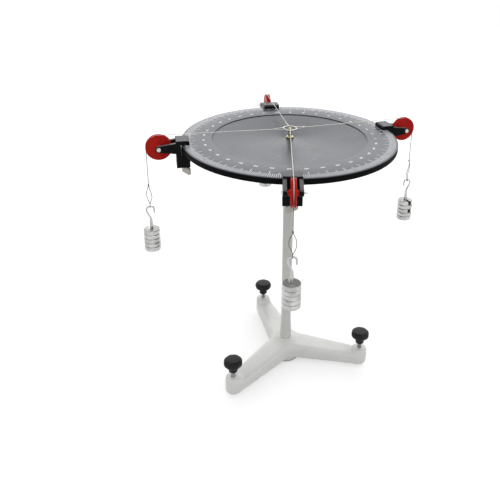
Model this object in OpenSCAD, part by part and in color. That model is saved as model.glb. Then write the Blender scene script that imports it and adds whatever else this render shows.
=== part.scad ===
// Force table for classroom mechanics: a graduated disc on a pillar and a cast tripod,
// with four clamp-on pulleys, a ring on a centre post, taut cords and slotted masses.
// Millimetres, +Z up. The origin lies on the pillar axis at bench level.

/* [Disc] */
// Diameter of the disc
disc_d = 400; // [380:5:440]
// Thickness of the disc at its rim
disc_t = 11; // [9:0.5:14]
// Height of the disc's top face above the bench
disc_top = 498; // [450:2:560]
// Diameter of the shallow recess in the disc's top face
recess_d = 288; // [250:2:320]
// Depth of the recess
recess_depth = 1.5; // [1:0.5:3]
// Chamfer along the disc's rim
rim_chamfer = 0.8; // [0.4:0.1:1.5]

/* [Tripod base] */
// Distance from the pillar axis to each levelling screw
leg_reach = 158; // [140:0.5:190]
// Direction of the first leg, turned from +X towards +Y
leg_angle = 110.4; // [90:0.1:130]
// Width of a leg beside the hub
leg_w_hub = 54; // [46:1:58]
// Width of a leg at its end boss
leg_w_end = 29; // [24:1:30]
// Height of a leg's section beside the hub
leg_h = 33; // [28:1:35]
// Height of a leg's section at its end boss
leg_h_end = 21.5; // [18:0.5:26]
// Height of a leg's top face beside the hub
leg_top = 40.5; // [38:0.5:43]
// Fall of the leg's top face from the hub to its end boss
leg_fall = 8; // [4:0.5:10]
// Radius of the rounded edges of a leg
leg_edge_r = 6.5; // [3:0.5:8]
// Radius of the hollow curve between two legs
crotch_r = 60; // [50:1:75]
// Diameter of the boss at the end of a leg
boss_d = 32; // [31:0.5:36]
// Height of that boss
boss_h = 36.5; // [32:0.5:42]
// Diameter of the round hub under the legs
hub_d = 53; // [46:1:56]
// Height of the hub's crown above the bench
hub_top = 48.5; // [48:0.5:56]
// Gap between the hub's underside and the bench
hub_gap = 1.5; // [1:0.5:4]

/* [Levelling screws] */
// Thread diameter of a levelling screw
level_d = 8; // [6:0.5:10]
// Diameter of the plain point that stands on the bench
point_d = 6; // [4:0.5:7]
// Length of that point
point_l = 6; // [4:0.5:10]
// Length of screw below the leg boss
level_out = 7; // [6.5:0.5:12]
// Bare thread between the leg boss and the knob
level_bare = 12; // [10:0.5:18]
// Diameter of the knob's head
knob_d = 37; // [32:1:42]
// Diameter of the knob's stem at its foot
knob_stem_d = 14.5; // [13:0.5:17]
// Height of the whole knob
knob_h = 28; // [26:1:34]
// Height of the knob's head
knob_head_h = 15; // [12:1:17]
// Number of shallow flutes round the knob
knob_flutes = 8; // [6:1:10]

/* [Pillar] */
// Diameter of the pillar
pillar_d = 20; // [18:0.5:21]
// Diameter of the pillar's flared foot, where it stands on the hub
flare_d = 24; // [22:0.5:28]
// Height of that flare
flare_h = 48; // [30:1:70]
// Thread diameter of the pillar's lower spigot
spigot_d = 12; // [10:1:14]
// Diameter of the table flange under the disc
flange_d = 110; // [90:2:130]
// Thickness of the flange plate
flange_t = 6; // [4:0.5:8]
// Diameter of the flange's socket for the pillar
flange_socket_d = 38; // [34:1:44]
// Depth of that socket below the plate
flange_socket_h = 40; // [30:1:55]
// Number of screws that hold the disc to the flange
flange_screws = 4; // [3:1:6]
// Thread diameter of those screws
flange_screw_d = 5; // [4:0.5:6]

/* [Centre post and ring] */
// Diameter of the post's pin
post_pin_d = 7; // [6:0.5:9]
// Diameter of the flange at the post's foot
post_flange_d = 14; // [12:0.5:16]
// Thickness of that flange
post_flange_h = 3; // [2:0.5:5]
// Height of the pin's top above the disc's top face
post_top_z = 17.5; // [16:0.5:24]
// Middle diameter of the ring
ring_d = 25; // [23:0.5:34]
// Diameter of the ring's wire
ring_wire_d = 3; // [2:0.5:4]

/* [Pulley clamps] */
// Directions of the four clamps, turned from +X towards +Y
right_angle = 20.1; // [10:0.1:30]
// Direction of the clamp at the back
back_angle = 102.4; // [92:0.1:112]
// Direction of the clamp at the left
left_angle = 193.1; // [183:0.1:203]
// Direction of the clamp at the front
front_angle = 271.7; // [262:0.1:282]
// Width of a clamp
clamp_w = 32; // [30:0.5:40]
// Length of the jaws over the disc
jaw_reach = 14; // [12:0.5:18]
// Gap between the disc's rim and the clamp's back
rim_gap = 1.2; // [0.8:0.1:2]
// Thickness of the clamp's back, outside that gap
clamp_back = 8.8; // [8:0.2:14]
// Thickness of the upper jaw above the disc
upper_jaw = 7.7; // [6:0.1:10]
// Room between the disc's underside and the lower jaw
jaw_room = 2.7; // [1.5:0.1:5]
// Thickness of the lower jaw
lower_jaw = 29; // [24:0.5:34]
// Depth of the relief slit that the gap behind the rim runs into
slit_depth = 5.5; // [3:0.5:9]
// Thickness of each fork arm
fork_t = 6.5; // [5:0.5:8]
// Height of a fork arm where it leaves the clamp
fork_h = 19.5; // [15:0.5:22]
// Drop of the fork arm's top below the clamp's top
fork_drop = 4; // [2:0.5:6]
// Radius of the fork arm's round tip
fork_tip_r = 5.5; // [5:0.5:7]
// Distance from the clamp's back to the pulley axle
axle_out = 29.8; // [29:0.2:38]
// Depth of the axle below the disc's top face
axle_drop = 6; // [4:0.5:9]
// Diameter of the axle
axle_d = 4; // [3:0.5:5]

/* [Pulleys] */
// Outer diameter of a pulley
pulley_d = 47; // [42:1:50]
// Width of a pulley at its rim
pulley_w = 9.5; // [8:0.5:12]
// Depth of the cord groove
groove_depth = 2; // [1.5:0.5:4]
// Width of the pulley's web
web_w = 8; // [6:0.5:9]
// Diameter of the pulley's hub
pulley_hub_d = 9; // [8:0.5:14]

/* [Clamp screws] */
// Thread diameter of a clamp screw
clamp_screw_d = 6; // [5:0.5:7]
// Width of the screw's wing
wing_w = 25; // [20:0.5:28]
// Height of the wing
wing_h = 16; // [12:0.5:18]
// Thickness of the wing
wing_t = 3.5; // [3:0.1:4]
// Diameter of the collar over the wing
wing_collar_d = 10; // [9:0.5:13]

/* [Cords] */
// Diameter of a cord
cord_d = 1.2; // [0.8:0.1:1.6]
// Length of the eye that ties a cord to the ring
ring_eye = 17; // [14:0.5:24]
// Length of the eye that holds a mass hanger
hook_eye = 45; // [30:1:60]
// Length of the right cord from the axle's level to its lower knot
right_drop = 71.5; // [40:0.5:110]
// Length of the back cord from the axle's level to its lower knot
back_drop = 74; // [40:0.5:110]
// Length of the left cord from the axle's level to its lower knot
left_drop = 73; // [40:0.5:110]
// Length of the front cord from the axle's level to its lower knot
front_drop = 54.5; // [40:0.5:110]

/* [Slotted masses] */
// Diameter of a slotted mass
mass_d = 30; // [26:1:36]
// Thickness of a slotted mass
mass_h = 8.3; // [6:0.1:11]
// Number of masses on each hanger
mass_count = 4; // [1:1:5]
// Width of the slot in a mass
slot_w = 7; // [6.8:0.1:8]
// Diameter of the hanger's shank
shank_d = 6; // [4:0.5:6.2]
// Diameter of the hook's wire
hook_wire_d = 3; // [2:0.5:3.5]
// Middle width of the hook
hook_w = 14; // [11:0.5:18]
// Length of the hanger from its hook to the foot of the stack
hanger_h = 88; // [80:1:110]

/* [Hidden] */
$fn = 64;
// Facets round the corners of a blended leg
leg_fn = 24;
// Gap between faces that slide or stand apart
gap = 0.3;
// Radial clearance of a turning or threaded fit
run = 0.05;
// How far one shape reaches into another that it is joined to
lap = 0.5;
// Gap between stacked masses
stack_gap = 0.2;

disc_r = disc_d / 2;
disc_under = disc_top - disc_t;
boss_bottom = level_out;
boss_top = boss_bottom + boss_h;
leg_angles = [leg_angle, leg_angle + 120, leg_angle + 240];
BACK_LEG = 0;
FRONT_LEG = 1;
RIGHT_LEG = 2;
// Sideways taper of a leg, from the hub to its end boss
leg_taper = atan((leg_w_hub - leg_w_end) / 2 / leg_reach);
// Distance from the pillar axis where the leg's top leaves the hub
leg_root = leg_w_hub / 2 + 27;
leg_slope = leg_fall / (leg_reach - leg_root);
// Height that the leg's top would reach at the pillar axis
leg_crest = leg_top + leg_root * leg_slope;
// The hollow curve between two legs crosses the side of each at a slight angle
crotch_cross = 14;
crotch_c = (crotch_r * cos(crotch_cross) + leg_w_hub / 2 * cos(leg_taper)) / sin(60 + leg_taper);
// Half the angle that the hollow curve turns through, to where it lies deepest inside a leg
crotch_half = 30 - leg_taper;
// Washer, nut and counterbore under the hub
nut_t = 0.8 * spigot_d;
nut_flats = 1.5 * spigot_d + 1;
washer_t = 2.5;
washer_d = 2 * spigot_d;
sink_d = washer_d + 4;
sink_h = nut_t + washer_t + 8;
pillar_foot = hub_top - 8;
// Room above the pillar for the nut of the centre post
post_nut_room = 15;
pillar_head = disc_under - post_nut_room;
grub_d = 6;
flange_bolt_r = (flange_d + flange_socket_d) / 4;
flange_screw_grip = 5;
flange_head_d = 1.8 * flange_screw_d;
flange_head_h = 0.6 * flange_screw_d;

post_nut_t = 5;
post_washer_t = 1.5;
post_thread = 12;

clamp_angles = [right_angle, back_angle, left_angle, front_angle];
cord_drops = [right_drop, back_drop, left_drop, front_drop];
// The turn of each wing, the side of each fork that shows the axle's head, and the turn of each hook
wing_turns = [25, 12, 118, 132];
axle_sides = [1, 1, -1, 1];
hook_turns = [0, 0, 0, -90];
RIGHT = 0;
BACK = 1;
LEFT = 2;
FRONT = 3;

// Places in a clamp's own frame: x outward from the disc axis, z from the disc's top face
jaw_in = disc_r - jaw_reach;
back_in = disc_r + rim_gap;
back_out = back_in + clamp_back;
clamp_top = gap + upper_jaw;
throat_z = -disc_t - jaw_room;
clamp_bottom = throat_z - lower_jaw;
axle_x = back_out + axle_out;
fork_gap = clamp_w - 2 * fork_t;
clamp_screw_x = jaw_in + jaw_reach / 2;
clamp_screw_tip = -disc_t - gap;
wing_top = clamp_bottom - 1;
wing_collar_h = 4;
groove_r = pulley_d / 2 - groove_depth;
cord_r = cord_d / 2;
// Middle of the cord where it lies in the groove
cord_lay_r = groove_r + gap + cord_r;
cord_z = cord_lay_r - axle_drop;
cord_x = axle_x + cord_lay_r;
ring_z = disc_top + cord_z;
ring_r = ring_d / 2;
knot_r = 1.3 * cord_d;
// Cord middle to the middle of the wire that an eye goes round
ring_eye_r = ring_wire_d / 2 + gap + cord_r;
hook_eye_r = hook_wire_d / 2 + 0.5 + cord_r;

// The point where a line from p touches a circle, on the side that sign gives
function touch(p, c, r, sign) =
    let (d = norm(p - c), toward = atan2(p[1] - c[1], p[0] - c[0]), a = toward + sign * acos(r / d))
    c + r * [cos(a), sin(a)];

module rod(a, b, r) {
    d = b - a;
    translate(a)
        rotate([0, acos(d[2] / norm(d)), atan2(d[1], d[0])])
            cylinder(r = r, h = norm(d));
}

// A hexagon prism with the given width across its flats
module hexagon(flats, h) {
    cylinder(d = flats / cos(30), h = h, $fn = 6);
}

// A leg of the tripod, blended between its hub end and its end boss
module leg() {
    bottom_r = 2;
    reach = [0, leg_reach];
    half = [leg_w_hub / 2, leg_w_end / 2];
    top = [leg_crest, leg_top - leg_fall];
    bottom = [leg_crest - leg_h, leg_top - leg_fall - leg_h_end];
    hull() {
        for (i = [0, 1], side = [-1, 1]) {
            translate([reach[i], side * (half[i] - leg_edge_r), top[i] - leg_edge_r])
                sphere(r = leg_edge_r, $fn = leg_fn);
            translate([reach[i], side * (half[i] - bottom_r), bottom[i]])
                cylinder(r = bottom_r, h = lap, $fn = leg_fn);
        }
    }
}

// The hollow curve between two legs, with the same rounded upper edge
module crotch() {
    depth = crotch_c - crotch_r;
    bottom = leg_crest - leg_h + gap;
    h = leg_top - gap - bottom;
    translate([crotch_c, 0, bottom])
        rotate([0, 0, 180 - crotch_half])
            rotate_extrude(angle = 2 * crotch_half)
                translate([crotch_r, 0]) {
                    square([depth, h - leg_edge_r]);
                    translate([leg_edge_r, 0])
                        square([depth - leg_edge_r, h]);
                    translate([leg_edge_r, h - leg_edge_r])
                        circle(r = leg_edge_r);
                }
}

// Hub and crown, with a level seat for the pillar's foot, turned as one profile
module hub() {
    hub_r = hub_d / 2;
    seat_r = flare_d / 2 + 2;
    crown_r = crotch_c - crotch_r - 1;
    rotate_extrude()
        polygon([
            [0, hub_gap], [hub_r - 2, hub_gap], [hub_r, hub_gap + 2], [hub_r, leg_top - 4],
            [crown_r, leg_top - 4], [crown_r, leg_top - 1], [crown_r - 2, leg_top + 1],
            [seat_r + 3, hub_top - 2], [seat_r, hub_top], [0, hub_top]
        ]);
}

module leg_boss() {
    r = boss_d / 2;
    crown = 3;
    rotate_extrude() {
        translate([0, boss_bottom])
            square([r - 1.5, boss_h]);
        translate([0, boss_bottom + 1.5])
            square([r, boss_h - crown - 1.5]);
        translate([r - crown, boss_top - crown])
            intersection() {
                circle(r = crown);
                square(crown);
            }
        translate([0, boss_top - crown])
            square([r - crown, crown]);
    }
}

module base_casting() {
    color("gainsboro")
        difference() {
            union() {
                hub();
                for (a = leg_angles) {
                    rotate([0, 0, a]) {
                        leg();
                        translate([leg_reach, 0, 0])
                            leg_boss();
                    }
                    rotate([0, 0, a + 60])
                        crotch();
                }
            }
            translate([0, 0, pillar_foot])
                cylinder(d = pillar_d + 2 * run, h = hub_top);
            cylinder(d = spigot_d + 2 * run, h = hub_top);
            cylinder(d = sink_d, h = hub_gap + sink_h);
            for (a = leg_angles)
                rotate([0, 0, a])
                    translate([leg_reach, 0, 0])
                        cylinder(d = level_d + 2 * run, h = boss_top + lap);
        }
}

module pillar() {
    spigot_end = hub_gap + sink_h - washer_t - nut_t - 2;
    color("darkgray")
        rotate_extrude()
            polygon([
                [0, spigot_end], [spigot_d / 2, spigot_end], [spigot_d / 2, pillar_foot],
                [pillar_d / 2, pillar_foot], [pillar_d / 2, hub_top], [flare_d / 2, hub_top],
                [pillar_d / 2, hub_top + flare_h], [pillar_d / 2, pillar_head - 1],
                [pillar_d / 2 - 1, pillar_head], [0, pillar_head]
            ]);
}

module pillar_washer() {
    color("silver")
        translate([0, 0, hub_gap + sink_h - washer_t])
            difference() {
                cylinder(d = washer_d, h = washer_t);
                translate([0, 0, -lap])
                    cylinder(d = spigot_d + 2 * run, h = washer_t + 2 * lap);
            }
}

module pillar_nut() {
    color("silver")
        translate([0, 0, hub_gap + sink_h - washer_t - nut_t])
            difference() {
                hexagon(nut_flats, nut_t);
                translate([0, 0, -lap])
                    cylinder(d = spigot_d + 2 * run, h = nut_t + 2 * lap);
            }
}

// Holes for the screws between the flange and the disc
module flange_pattern() {
    for (i = [0 : flange_screws - 1])
        rotate([0, 0, 45 + i * 360 / flange_screws])
            translate([flange_bolt_r, 0, 0])
                children();
}

// Two grub screws lie across the flange's socket, at a right angle
module grub_places() {
    grub_z = disc_under - flange_t - flange_socket_h + 14;
    for (a = [200, 290])
        rotate([0, 0, a])
            translate([pillar_d / 2, 0, grub_z])
                rotate([0, 90, 0])
                    children();
}

module table_flange() {
    socket_r = flange_socket_d / 2;
    plate_under = disc_under - flange_t;
    blend = 6;
    color("dimgray")
        difference() {
            union() {
                rotate_extrude()
                    polygon([
                        [0, plate_under - flange_socket_h], [socket_r - 1, plate_under - flange_socket_h],
                        [socket_r, plate_under - flange_socket_h + 1], [socket_r, plate_under - blend],
                        [socket_r + blend, plate_under], [flange_d / 2 - 1, plate_under],
                        [flange_d / 2, plate_under + 1], [flange_d / 2, disc_under], [0, disc_under]
                    ]);
            }
            translate([0, 0, plate_under - flange_socket_h - lap])
                cylinder(d = pillar_d + 2 * run, h = flange_socket_h + flange_t + 2 * lap);
            translate([0, 0, plate_under - lap])
                flange_pattern()
                    cylinder(d = flange_screw_d + 2 * run, h = flange_t + 2 * lap);
            grub_places()
                cylinder(d = grub_d + 2 * run, h = flange_socket_d);
        }
}

module flange_grub_screws() {
    grub_l = (flange_socket_d - pillar_d) / 2 - 1;
    key = 3;
    color("dimgray")
        grub_places()
            difference() {
                translate([0, 0, run])
                    cylinder(d = grub_d, h = grub_l);
                translate([0, 0, grub_l - key])
                    hexagon(key, key + lap);
            }
}

module disc() {
    c = rim_chamfer;
    floor_z = disc_top - recess_depth;
    color("dimgray")
        difference() {
            rotate_extrude()
                polygon([
                    [0, disc_under], [disc_r - c, disc_under], [disc_r, disc_under + c], [disc_r, disc_top - c],
                    [disc_r - c, disc_top], [recess_d / 2, disc_top], [recess_d / 2 - c, floor_z], [0, floor_z]
                ]);
            translate([0, 0, disc_under - lap])
                cylinder(d = post_pin_d + 2 * run, h = disc_t + 2 * lap);
            translate([0, 0, disc_under - lap])
                flange_pattern()
                    cylinder(d = flange_screw_d + 2 * run, h = flange_screw_grip + 2 * lap);
        }
}

module disc_screws() {
    color("silver")
        translate([0, 0, disc_under - flange_t])
            flange_pattern() {
                cylinder(d = flange_screw_d, h = flange_t + flange_screw_grip);
                translate([0, 0, -flange_head_h])
                    difference() {
                        cylinder(d = flange_head_d, h = flange_head_h);
                        translate([-flange_head_d, -0.5, -lap])
                            cube([2 * flange_head_d, 1, lap + 1]);
                    }
            }
}

// Turned post with a flange at its foot, and a plain pin that holds the ring
module centre_post() {
    floor_z = disc_top - recess_depth;
    pin_r = post_pin_d / 2;
    flange_r = post_flange_d / 2;
    flange_top = floor_z + post_flange_h;
    top = disc_top + post_top_z;
    color("goldenrod")
        rotate_extrude()
            polygon([
                [0, disc_under - post_thread], [pin_r, disc_under - post_thread], [pin_r, floor_z],
                [flange_r, floor_z], [flange_r, flange_top - 0.8], [flange_r - 0.8, flange_top],
                [pin_r, flange_top], [pin_r, top - 1.2], [pin_r - 1.2, top], [0, top]
            ]);
}

module post_washer() {
    color("silver")
        translate([0, 0, disc_under - post_washer_t])
            difference() {
                cylinder(d = pillar_d - 3, h = post_washer_t);
                translate([0, 0, -lap])
                    cylinder(d = post_pin_d + 2 * run, h = post_washer_t + 2 * lap);
            }
}

module post_nut() {
    color("silver")
        translate([0, 0, disc_under - post_washer_t - post_nut_t])
            difference() {
                hexagon(1.6 * post_pin_d, post_nut_t);
                translate([0, 0, -lap])
                    cylinder(d = post_pin_d + 2 * run, h = post_nut_t + 2 * lap);
            }
}

module ring() {
    color("silver")
        translate([0, 0, ring_z])
            rotate_extrude()
                translate([ring_r, 0])
                    circle(d = ring_wire_d);
}

module at_leg(i) {
    rotate([0, 0, leg_angles[i]])
        translate([leg_reach, 0, 0])
            children();
}

module levelling_screw(i) {
    top = boss_top + level_bare + knob_h / 2;
    color("silver")
        at_leg(i) {
            cylinder(d = point_d, h = point_l);
            translate([0, 0, point_l])
                cylinder(d = level_d, h = top - point_l);
        }
}

// Mushroom knob with finger hollows round its head
module levelling_knob(i) {
    foot = boss_top + level_bare;
    head_r = knob_d / 2;
    stem_r = knob_stem_d / 2;
    head_z = knob_h - knob_head_h;
    belly_z = 0.35 * knob_head_h;
    flute_r = 5;
    flute_depth = 0.6;
    color("black")
        at_leg(i)
            translate([0, 0, foot])
                difference() {
                    rotate_extrude() {
                        polygon([
                            [0, 0], [stem_r - 1, 0], [stem_r, 1], [stem_r + 1.5, head_z - 4],
                            [head_r - 6, head_z], [head_r - 2, head_z + 1.5], [head_r, head_z + belly_z],
                            [head_r, knob_h - belly_z], [head_r - 1, knob_h - belly_z / 2],
                            [head_r - 3, knob_h - 1.2], [head_r - 6, knob_h - 0.4], [0, knob_h]
                        ]);
                    }
                    for (k = [0 : knob_flutes - 1])
                        rotate([0, 0, k * 360 / knob_flutes])
                            translate([head_r + flute_r - flute_depth, 0, -lap])
                                cylinder(r = flute_r, h = knob_h + 2 * lap);
                    translate([0, 0, -lap])
                        cylinder(d = level_d + 2 * run, h = knob_h / 2 + lap + gap);
                }
}

module at_clamp(i) {
    translate([0, 0, disc_top])
        rotate([0, 0, clamp_angles[i]])
            children();
}

// Turns a drawing in x and z into a plate of the given width, centred on the clamp's middle
module across(w) {
    rotate([90, 0, 0])
        translate([0, 0, -w / 2])
            linear_extrude(w)
                children();
}

// Side view of the C-shaped clamp, with its throat round the disc's rim
module clamp_side() {
    nose = 2.5;
    polygon([
        [jaw_in, gap], [jaw_in, clamp_top - nose], [jaw_in + nose, clamp_top], [back_out - 1, clamp_top],
        [back_out, clamp_top - 1], [back_out, clamp_bottom], [jaw_in + 1, clamp_bottom],
        [jaw_in, clamp_bottom + 1], [jaw_in, throat_z], [back_in - rim_gap, throat_z],
        [back_in - rim_gap, throat_z - slit_depth], [back_in, throat_z - slit_depth], [back_in, gap]
    ]);
}

// Side view of a fork arm: its edges run from the clamp's back to touch the round tip
module fork_side() {
    tip = [axle_x, -axle_drop];
    root_x = back_out - 3;
    root_top = clamp_top - fork_drop;
    upper = touch([back_out, root_top], tip, fork_tip_r, -1);
    lower = touch([back_out, root_top - fork_h], tip, fork_tip_r, 1);
    polygon([
        [root_x, root_top], [back_out, root_top], upper, tip, lower,
        [back_out, root_top - fork_h], [root_x, root_top - fork_h]
    ]);
    translate(tip)
        circle(r = fork_tip_r);
}

module clamp_body(i) {
    color("black")
        at_clamp(i)
            difference() {
                union() {
                    across(clamp_w)
                        clamp_side();
                    for (side = [-1, 1])
                        translate([0, side * (clamp_w - fork_t) / 2, 0])
                            across(fork_t)
                                fork_side();
                }
                translate([axle_x, 0, -axle_drop])
                    rotate([90, 0, 0])
                        translate([0, 0, -clamp_w])
                            cylinder(d = axle_d + 2 * run, h = 2 * clamp_w);
                translate([clamp_screw_x, 0, clamp_bottom - lap])
                    cylinder(d = clamp_screw_d + 2 * run, h = lower_jaw + 2 * lap);
            }
}

// Pointed axle screw with a domed head
module axle(i) {
    head_r = axle_d;
    head_h = 2.6;
    dome_r = (head_r * head_r + head_h * head_h) / 2 / head_h;
    tip_l = 4;
    end = clamp_w / 2 + gap / 3;
    color("silver")
        at_clamp(i)
            translate([axle_x, 0, -axle_drop])
                rotate([axle_sides[i] * 90, 0, 0]) {
                    translate([0, 0, end])
                        intersection() {
                            translate([0, 0, head_h - dome_r])
                                sphere(r = dome_r);
                            cylinder(r = head_r, h = head_h);
                        }
                    translate([0, 0, -end - 2])
                        cylinder(d = axle_d, h = 2 * end + 2 + lap);
                    translate([0, 0, -end - 2 - tip_l])
                        cylinder(d1 = 0.8, d2 = axle_d, h = tip_l);
                }
}

// Grooved wheel with a dished web and a hub that fills the fork
module pulley(i) {
    r = pulley_d / 2;
    half = pulley_w / 2;
    hub_half = fork_gap / 2 - gap;
    hub_r = pulley_hub_d / 2;
    web = web_w / 2;
    rim_in = r - 5;
    side = [
        [axle_d / 2 + run, hub_half], [hub_r - 0.8, hub_half], [hub_r + 1.2, web], [rim_in - 2, web],
        [rim_in, half - 0.6], [r - 1.2, half], [r, half - 1.2], [r, half - 2]
    ];
    other = [for (k = [len(side) - 1 : -1 : 0]) [side[k][0], -side[k][1]]];
    groove = [[groove_r + 0.6, 1.2], [groove_r, 0.5], [groove_r, -0.5], [groove_r + 0.6, -1.2]];
    color("firebrick")
        at_clamp(i)
            translate([axle_x, 0, -axle_drop])
                rotate([90, 0, 0])
                    rotate_extrude()
                        polygon(concat(side, groove, other));
}

module clamp_screw(i) {
    color("silver")
        at_clamp(i)
            translate([clamp_screw_x, 0, wing_top - wing_collar_h + 1])
                cylinder(d = clamp_screw_d, h = clamp_screw_tip - wing_top + wing_collar_h - 1);
}

// Flat wing with round corners under a collar
module wing(i) {
    corner = 2.5;
    plate_h = wing_h - wing_collar_h + 1;
    color("lightgray")
        at_clamp(i)
            translate([clamp_screw_x, 0, wing_top - wing_h])
                rotate([0, 0, wing_turns[i]])
                    difference() {
                        union() {
                            across(wing_t) {
                                translate([-wing_w / 2 + corner, 0])
                                    square([wing_w - 2 * corner, plate_h]);
                                translate([-wing_w / 2, corner])
                                    square([wing_w, plate_h - 2 * corner]);
                                for (side = [-1, 1], z = [corner, plate_h - corner])
                                    translate([side * (wing_w / 2 - corner), z])
                                        circle(r = corner);
                            }
                            translate([0, 0, wing_h - wing_collar_h - 2])
                                cylinder(d = wing_collar_d, h = wing_collar_h + 2);
                        }
                        translate([0, 0, wing_h - wing_collar_h + 1 - gap])
                            cylinder(d = clamp_screw_d + 2 * run, h = wing_collar_h);
                    }
}

// A tied eye in x and z: a knot at the origin and two strands to a bend of radius r below it
module eye(length, r) {
    drop = length - r;
    spread = asin(r / drop);
    strand = drop * cos(spread);
    bead_r = 1.15 * cord_r;
    sphere(r = knot_r);
    for (side = [-1, 1])
        rotate([0, side * spread, 0]) {
            translate([0, 0, lap - strand])
                cylinder(r = cord_r, h = strand - lap);
            translate([0, 0, -strand])
                sphere(r = bead_r);
        }
    translate([0, 0, -drop])
        rotate([90, 0, 0])
            rotate([0, 0, 180 - spread])
                rotate_extrude(angle = 180 + 2 * spread)
                    translate([r, 0])
                        circle(r = cord_r);
}

// Cord from the ring, over its pulley, down to the eye of the mass hanger
module cord(i) {
    knot_x = ring_r - ring_eye_r + ring_eye;
    knot_z = -axle_drop - cord_drops[i];
    color("white")
        at_clamp(i) {
            translate([knot_x, 0, cord_z])
                rotate([0, 90, 0])
                    eye(ring_eye, ring_eye_r);
            rod([knot_x, 0, cord_z], [axle_x, 0, cord_z], cord_r);
            translate([axle_x, 0, -axle_drop])
                rotate([90, 0, 0])
                    rotate_extrude(angle = 90)
                        translate([cord_lay_r, 0])
                            circle(r = cord_r);
            rod([cord_x, 0, -axle_drop], [cord_x, 0, knot_z], cord_r);
            translate([cord_x, 0, knot_z])
                rotate([0, 0, 90 + hook_turns[i]])
                    eye(hook_eye, hook_eye_r);
        }
}

// Puts the middle of a hanger's hook in the bend of its cord's eye
module at_hook(i) {
    at_clamp(i)
        translate([cord_x, 0, -axle_drop - cord_drops[i] - hook_eye + hook_eye_r])
            rotate([0, 0, hook_turns[i]])
                children();
}

// Open wire hook on a shank with a foot disc
module hanger(i) {
    wire_r = hook_wire_d / 2;
    ball_r = wire_r + 0.2;
    bend_r = hook_w / 2;
    tip_z = -bend_r - 6;
    turn_z = -bend_r - 3;
    neck_z = turn_z - hook_w;
    foot_z = -hanger_h;
    shank_r = shank_d / 2;
    color("silver")
        at_hook(i) {
            translate([0, 0, -bend_r])
                rotate([90, 0, 0])
                    rotate_extrude(angle = 180)
                        translate([bend_r, 0])
                            circle(r = wire_r);
            rod([-bend_r, 0, -bend_r], [-bend_r, 0, tip_z], wire_r);
            translate([-bend_r, 0, tip_z])
                sphere(r = ball_r);
            rod([bend_r, 0, -bend_r], [bend_r, 0, turn_z], wire_r);
            translate([bend_r, 0, turn_z])
                sphere(r = ball_r);
            rod([bend_r, 0, turn_z], [0, 0, neck_z], wire_r);
            translate([0, 0, neck_z])
                sphere(r = shank_r + 0.4);
            rod([0, 0, neck_z], [0, 0, foot_z + mass_h / 2], shank_r);
            translate([0, 0, foot_z])
                mass_blank();
        }
}

// Disc with broken edges that a mass or a hanger's foot is made of
module mass_blank() {
    r = mass_d / 2;
    edge = 0.9;
    rotate_extrude()
        polygon([
            [0, 0], [r - edge, 0], [r, edge], [r, mass_h - edge], [r - edge, mass_h], [0, mass_h]
        ]);
}

// Slotted masses stacked on the hanger's foot, their slots turned to and fro
module masses(i) {
    slot_turn = 18;
    step = mass_h + stack_gap;
    color("lightgray")
        at_hook(i)
            for (k = [1 : mass_count])
                translate([0, 0, k * step - hanger_h])
                    rotate([0, 0, k % 2 == 0 ? -60 - slot_turn : -60 + slot_turn])
                        difference() {
                            mass_blank();
                            translate([0, 0, -lap])
                                cylinder(d = slot_w, h = mass_h + 2 * lap);
                            translate([0, -slot_w / 2, -lap])
                                cube([mass_d, slot_w, mass_h + 2 * lap]);
                        }
}

base_casting();
pillar();
pillar_washer();
pillar_nut();
table_flange();
flange_grub_screws();
disc();
disc_screws();
centre_post();
post_washer();
post_nut();
ring();
levelling_screw(BACK_LEG);  // levelling_screw_back
levelling_screw(FRONT_LEG);  // levelling_screw_front
levelling_screw(RIGHT_LEG);  // levelling_screw_right
levelling_knob(BACK_LEG);  // levelling_knob_back
levelling_knob(FRONT_LEG);  // levelling_knob_front
levelling_knob(RIGHT_LEG);  // levelling_knob_right
clamp_body(RIGHT);  // right_clamp
axle(RIGHT);  // right_axle
pulley(RIGHT);  // right_pulley
clamp_screw(RIGHT);  // right_clamp_screw
wing(RIGHT);  // right_wing
cord(RIGHT);  // right_cord
hanger(RIGHT);  // right_hanger
masses(RIGHT);  // right_masses
clamp_body(BACK);  // back_clamp
axle(BACK);  // back_axle
pulley(BACK);  // back_pulley
clamp_screw(BACK);  // back_clamp_screw
wing(BACK);  // back_wing
cord(BACK);  // back_cord
hanger(BACK);  // back_hanger
masses(BACK);  // back_masses
clamp_body(LEFT);  // left_clamp
axle(LEFT);  // left_axle
pulley(LEFT);  // left_pulley
clamp_screw(LEFT);  // left_clamp_screw
wing(LEFT);  // left_wing
cord(LEFT);  // left_cord
hanger(LEFT);  // left_hanger
masses(LEFT);  // left_masses
clamp_body(FRONT);  // front_clamp
axle(FRONT);  // front_axle
pulley(FRONT);  // front_pulley
clamp_screw(FRONT);  // front_clamp_screw
wing(FRONT);  // front_wing
cord(FRONT);  // front_cord
hanger(FRONT);  // front_hanger
masses(FRONT);  // front_masses
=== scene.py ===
# Force table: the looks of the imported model, in the order in which the object is put together.
# Sizes are in metres. The origin lies on the pillar's axis at bench level, with Z up.
import math

import bmesh
import bpy
import numpy as np
from mathutils import Matrix, Vector


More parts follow.
